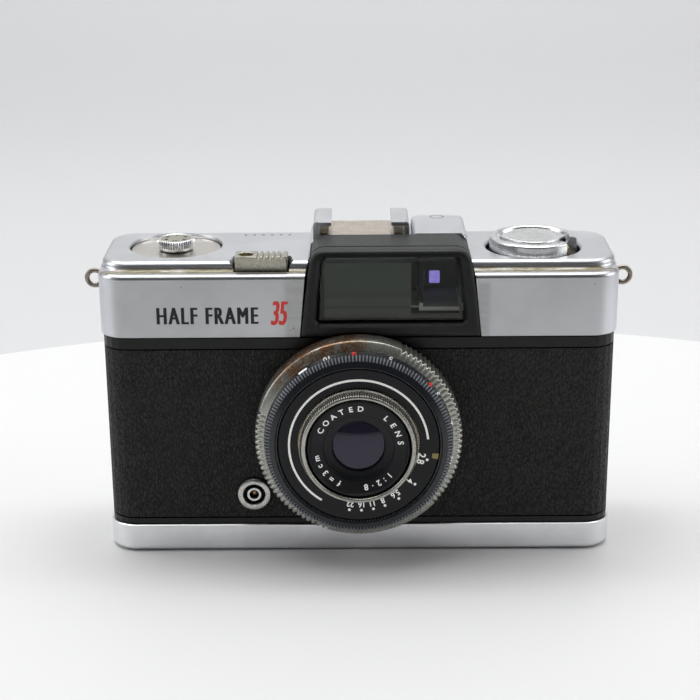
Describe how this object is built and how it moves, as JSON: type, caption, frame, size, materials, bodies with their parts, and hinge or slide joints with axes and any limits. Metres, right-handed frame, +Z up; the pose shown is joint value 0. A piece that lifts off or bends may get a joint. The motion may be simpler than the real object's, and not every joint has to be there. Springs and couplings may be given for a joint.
{
  "type": "half frame camera",
  "caption": "Half frame 35 mm viewfinder camera in satin metal and black leatherette, with a ribbed lens, accessory shoe, folding rewind crank and slide-off back.",
  "frame": {"origin": "centre of the base's underside, midway between the front and rear faces of the body", "axes": "+X to the right as seen from the front, +Z up through the top cover, -Y out through the lens"},
  "size_m": [0.1178, 0.0421, 0.07],
  "materials": {
    "satin_chrome": "satin chrome plate, lightly tarnished",
    "bright_chrome": "worn nickel, handled edges brassed",
    "black_paint": "semi-gloss black enamel",
    "black_leatherette": "embossed grain",
    "black_anodised": "black anodised, satin",
    "brass": "turned",
    "steel": "bare spring steel and turned steel",
    "coated_glass": "violet coated optical glass",
    "cast_alloy": "die cast, matt black",
    "insulator": "moulded",
    "diffuser": "grey-green translucent"
  },
  "bodies": {
    "camera_body": {"body_frame": "cast_alloy", "front_leather_left": "black_leatherette", "front_leather_right": "black_leatherette", "top_cover": "satin_chrome", "finder_bezel": "black_paint", "finder_window": "coated_glass", "finder_mask": "black_paint", "frame_light_diffuser": "diffuser", "finder_tunnel": "black_paint", "finder_objective": "coated_glass", "finder_eyepiece_lens": "coated_glass", "eyepiece_frame": "black_paint", "accessory_shoe": "satin_chrome", "strap_lug_left": "steel", "strap_lug_right": "steel", "sync_ring": "bright_chrome", "sync_sleeve": "bright_chrome", "sync_insulator": "insulator", "shutter_housing": "black_paint", "rear_lens_cell": "black_paint", "rear_element": "coated_glass", "release_spring": "steel"},
    "back": {"base_pan": "satin_chrome", "back_shell": "black_paint", "back_leather": "black_leatherette", "tripod_socket": "steel", "pressure_spring": "steel"},
    "pressure": {"pressure_plate": "steel"},
    "lock": {"lock_key": "bright_chrome"},
    "lock_handle": {"lock_wing": "bright_chrome"},
    "focus": {"focus_ring": "black_anodised"},
    "lens_unit": {"lens_carrier": "brass", "front_lens_cell": "black_anodised", "front_element": "coated_glass", "middle_element": "coated_glass", "aperture_dial": "black_paint"},
    "aperture": {"aperture_grip_ring": "bright_chrome"},
    "speed": {"speed_ring": "bright_chrome"},
    "release": {"release_button": "satin_chrome", "release_rod": "steel"},
    "wind": {"wind_wheel": "bright_chrome"},
    "take_up": {"take_up_spool": "black_paint"},
    "film_sprocket": {"sprocket": "steel"},
    "counter": {"counter_dial": "satin_chrome", "counter_knob": "satin_chrome"},
    "rewind_lifter": {"rewind_shaft": "steel"},
    "rewind_rotor": {"rewind_knob": "satin_chrome", "rewind_fork": "steel"},
    "crank": {"rewind_crank": "satin_chrome"},
    "crank_grip": {"crank_handle": "bright_chrome"},
    "rewind_release": {"rewind_button": "bright_chrome"},
    "shutter_left": {"shutter_blade_2": "steel"},
    "shutter_right": {"shutter_blade_1": "steel"},
    "iris_1": {"iris_blade_1": "steel"},
    "iris_2": {"iris_blade_2": "steel"},
    "iris_3": {"iris_blade_3": "steel"},
    "iris_4": {"iris_blade_4": "steel"},
    "iris_5": {"iris_blade_5": "steel"}
  },
  "joints": [
    {"name": "back_slide", "type": "slide", "parent": "camera_body", "child": "back", "axis": [0, 0, -1], "range_m": [0, 0.05]},
    {"name": "lock_turn", "type": "hinge", "parent": "back", "child": "lock", "pos_m": [-0.036, 0.0005, 0.001], "axis": [0, 0, 1], "range_deg": [0, 90]},
    {"name": "lock_wing_fold", "type": "hinge", "parent": "lock", "child": "lock_handle", "pos_m": [-0.036, 0.0011, 0.0006], "axis": [1, 0, 0], "range_deg": [0, 85]},
    {"name": "pressure_spring_travel", "type": "slide", "parent": "back", "child": "pressure", "axis": [0, 1, 0], "range_m": [0, 0.0003], "stiffness_N_per_m": 300},
    {"name": "focus_turn", "type": "hinge", "parent": "camera_body", "child": "focus", "pos_m": [-0.00015, -0.0225, 0.0283], "axis": [0, -1, 0], "range_deg": [0, 96]},
    {"name": "lens_travel", "type": "slide", "parent": "camera_body", "child": "lens_unit", "axis": [0, -1, 0], "range_m": [0, 0.00157]},
    {"name": "aperture_turn", "type": "hinge", "parent": "lens_unit", "child": "aperture", "pos_m": [-0.00015, -0.0244, 0.0283], "axis": [0, 1, 0], "range_deg": [0, 100]},
    {"name": "speed_turn", "type": "hinge", "parent": "camera_body", "child": "speed", "pos_m": [-0.00015, -0.0175, 0.0283], "axis": [0, 1, 0], "range_deg": [-60, 60]},
    {"name": "release_press", "type": "slide", "parent": "camera_body", "child": "release", "axis": [0, 0, -1], "range_m": [0, 0.0018], "stiffness_N_per_m": 250, "deforming": ["release_spring"]},
    {"name": "wind_turn", "type": "hinge", "parent": "camera_body", "child": "wind", "pos_m": [-0.0392, 0.0028, 0.0525], "axis": [0, 0, 1], "continuous": true},
    {"name": "take_up_turn", "type": "hinge", "parent": "camera_body", "child": "take_up", "pos_m": [-0.0392, 0.0028, 0.025], "axis": [0, 0, 1], "continuous": true},
    {"name": "sprocket_turn", "type": "hinge", "parent": "camera_body", "child": "film_sprocket", "pos_m": [-0.0229, 0.0032, 0.028], "axis": [0, 0, 1], "continuous": true},
    {"name": "counter_turn", "type": "hinge", "parent": "camera_body", "child": "counter", "pos_m": [-0.0392, 0.0028, 0.0627], "axis": [0, 0, 1], "continuous": true},
    {"name": "rewind_lift", "type": "slide", "parent": "camera_body", "child": "rewind_lifter", "axis": [0, 0, 1], "range_m": [0, 0.006]},
    {"name": "rewind_spin", "type": "hinge", "parent": "rewind_lifter", "child": "rewind_rotor", "pos_m": [0.0374, 0.0013, 0.063], "axis": [0, 0, 1], "continuous": true},
    {"name": "crank_fold", "type": "hinge", "parent": "rewind_rotor", "child": "crank", "pos_m": [0.0438, 0.0013, 0.06605], "axis": [0, 1, 0], "range_deg": [0, 115]},
    {"name": "crank_handle_spin", "type": "hinge", "parent": "crank", "child": "crank_grip", "pos_m": [0.0325, 0.0013, 0.0645], "axis": [0, 0, 1], "continuous": true},
    {"name": "rewind_release_press", "type": "slide", "parent": "camera_body", "child": "rewind_release", "axis": [0, -1, 0], "range_m": [0, 0.0012], "stiffness_N_per_m": 250},
    {"name": "shutter_left_travel", "type": "slide", "parent": "camera_body", "child": "shutter_left", "axis": [-1, 0, 0], "range_m": [0, 0.0055]},
    {"name": "shutter_right_travel", "type": "slide", "parent": "camera_body", "child": "shutter_right", "axis": [1, 0, 0], "range_m": [0, 0.0055]},
    {"name": "iris_1_turn", "type": "hinge", "parent": "camera_body", "child": "iris_1", "pos_m": [0.00874, -0.0176, 0.02877], "axis": [0, -1, 0], "range_deg": [0, 36]},
    {"name": "iris_2_turn", "type": "hinge", "parent": "camera_body", "child": "iris_2", "pos_m": [0.00215, -0.01718, 0.0369], "axis": [0, -1, 0], "range_deg": [0, 36]},
    {"name": "iris_3_turn", "type": "hinge", "parent": "camera_body", "child": "iris_3", "pos_m": [-0.00761, -0.01676, 0.03315], "axis": [0, -1, 0], "range_deg": [0, 36]},
    {"name": "iris_4_turn", "type": "hinge", "parent": "camera_body", "child": "iris_4", "pos_m": [-0.00707, -0.01634, 0.0227], "axis": [0, -1, 0], "range_deg": [0, 36]},
    {"name": "iris_5_turn", "type": "hinge", "parent": "camera_body", "child": "iris_5", "pos_m": [0.00304, -0.01592, 0.01999], "axis": [0, -1, 0], "range_deg": [0, 36]}
  ],
  "couplings": [
    {"joint": "focus_turn", "follows": "lens_travel", "rad_per_m": 1000},
    {"joint": "take_up_turn", "follows": "wind_turn", "ratio": 1},
    {"joint": "sprocket_turn", "follows": "wind_turn", "ratio": 1},
    {"joint": "counter_turn", "follows": "wind_turn", "ratio": 0.05},
    {"joint": "shutter_left_travel", "follows": "release_press", "ratio": 3},
    {"joint": "shutter_right_travel", "follows": "release_press", "ratio": 3},
    {"joint": "iris_1_turn", "follows": "aperture_turn", "ratio": 0.35},
    {"joint": "iris_2_turn", "follows": "aperture_turn", "ratio": 0.35},
    {"joint": "iris_3_turn", "follows": "aperture_turn", "ratio": 0.35},
    {"joint": "iris_4_turn", "follows": "aperture_turn", "ratio": 0.35},
    {"joint": "iris_5_turn", "follows": "aperture_turn", "ratio": 0.35}
  ]
}
